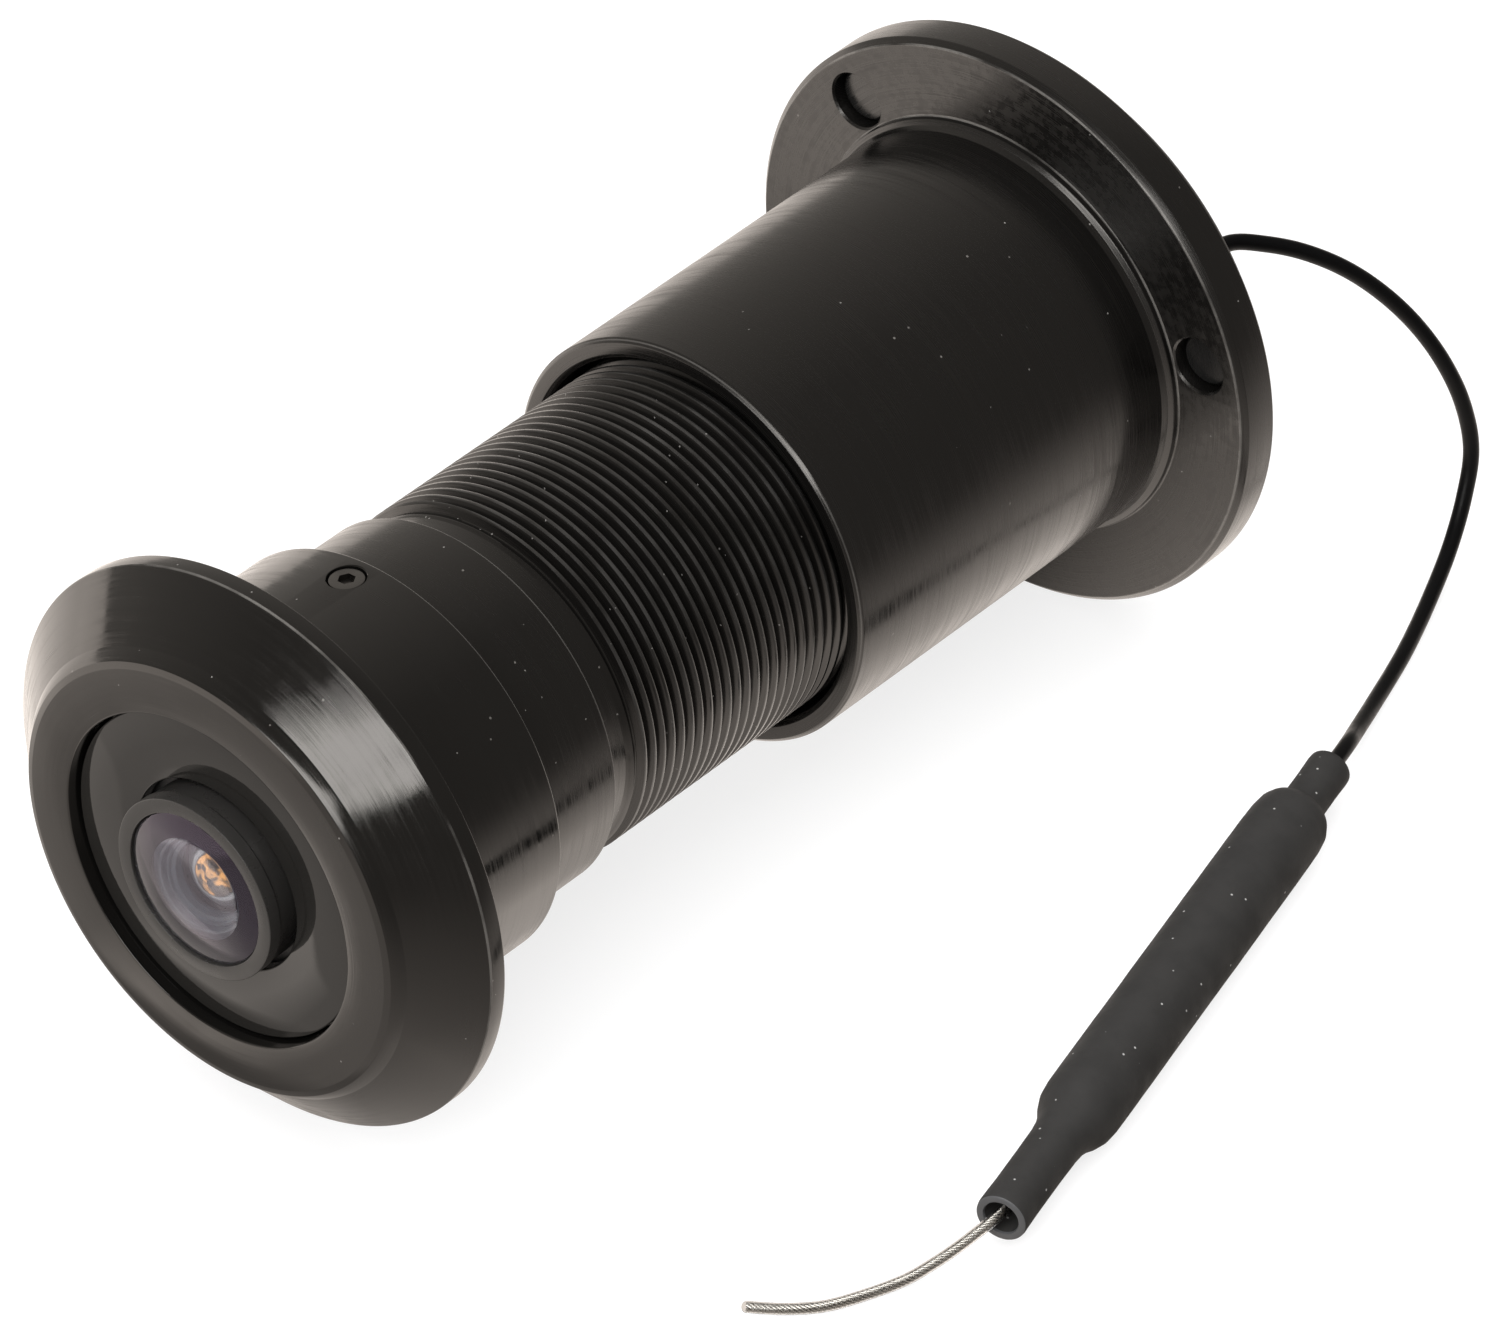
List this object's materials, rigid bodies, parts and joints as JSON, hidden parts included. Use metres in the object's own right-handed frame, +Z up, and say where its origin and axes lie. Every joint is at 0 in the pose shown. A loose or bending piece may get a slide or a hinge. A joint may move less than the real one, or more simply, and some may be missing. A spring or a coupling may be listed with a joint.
{
  "type": "door viewer",
  "caption": "Digital door viewer: lens bezel on a threaded barrel screwed into a flanged rear sleeve, with boards inside and a coax whip antenna lying behind.",
  "frame": {"origin": "centre of the base of the viewer's box as it lies on a table, without the antenna lead", "axes": "+Y along the viewer's axis from the lens (outdoors) to the rear flange (indoors), +Z up, +X to the right when looking along +Y; the antenna lies on the +X side"},
  "size_m": [0.0669, 0.1027, 0.0418],
  "materials": {
    "black_aluminium": "satin black anodised, turned",
    "plate_aluminium": "fine matt dark-grey anodised",
    "black_steel": "black oxide",
    "lens_black": "semi-matt black",
    "glass": "polished, purple anti-reflection coating",
    "black_plastic": "fine matt",
    "board": "solder mask, satin",
    "chip": "matt moulded",
    "tin": "bright tinned",
    "gold": "gold flash",
    "copper": "plain",
    "flex_film": "amber film",
    "cord_black": "glossy fluoropolymer jacket",
    "shrink_black": "matt heat-shrink",
    "rubber": "matt",
    "silver_wire": "tinned strands under a clear jacket",
    "led": "clear"
  },
  "bodies": {
    "root": {"sleeve_flange": "black_aluminium", "cover_pin_1": "black_steel", "cover_pin_2": "black_steel", "cover_pin_3": "black_steel", "rear_cover": "black_plastic", "board_chassis": "black_plastic", "main_board": "board", "soc_chip": "chip", "wifi_shield": "tin", "ribbon_socket_rear": "chip", "usb_shell": "tin", "usb_tongue": "chip", "card_socket": "tin", "reset_switch": "chip", "status_led": "led", "ribbon_cable": "flex_film", "coax_plug": "gold", "coax_lead": "cord_black", "cable_grommet": "rubber", "coax_cable": "cord_black", "radiator_wire": "silver_wire", "antenna_shrink": "shrink_black", "antenna_choke": "copper", "antenna_feed": "cord_black"},
    "camera": {"camera_plate": "plate_aluminium", "lens_barrel": "lens_black", "front_lens": "glass", "lens_spacer": "lens_black", "middle_lens": "glass", "rear_lens": "glass", "ir_filter": "glass", "lens_holder": "black_plastic", "sensor_board": "board", "image_sensor": "chip", "board_screw_1": "black_steel", "board_screw_2": "black_steel", "ribbon_socket_front": "chip"},
    "barrel": {"front_bezel": "black_aluminium", "threaded_barrel": "black_aluminium"},
    "grub": {"grub_screw": "black_steel"},
    "card": {"memory_card": "chip"},
    "button": {"reset_button": "black_plastic"}
  },
  "joints": [
    {"name": "lens_travel", "type": "slide", "parent": "root", "child": "camera", "axis": [0, -1, 0], "range_m": [-0.02, 0.008], "deforming": ["ribbon_cable"]},
    {"name": "barrel_turn", "type": "hinge", "parent": "camera", "child": "barrel", "pos_m": [0, 0, 0.02089], "axis": [0, -1, 0], "range_deg": [-7990, 3190]},
    {"name": "grub_turn", "type": "hinge", "parent": "barrel", "child": "grub", "pos_m": [-0.00127, -0.02495, 0.03402], "axis": [-0.0958, 0, 0.9954], "range_deg": [0, 720]},
    {"name": "card_slide", "type": "slide", "parent": "root", "child": "card", "axis": [0, 1, 0], "range_m": [-0.0004, 0.012]},
    {"name": "reset_press", "type": "slide", "parent": "root", "child": "button", "axis": [0, -1, 0], "range_m": [0, 0.0004], "stiffness_N_per_m": 500}
  ],
  "couplings": [
    {"joint": "lens_travel", "follows": "barrel_turn", "m_per_rad": 0.00014324}
  ]
}
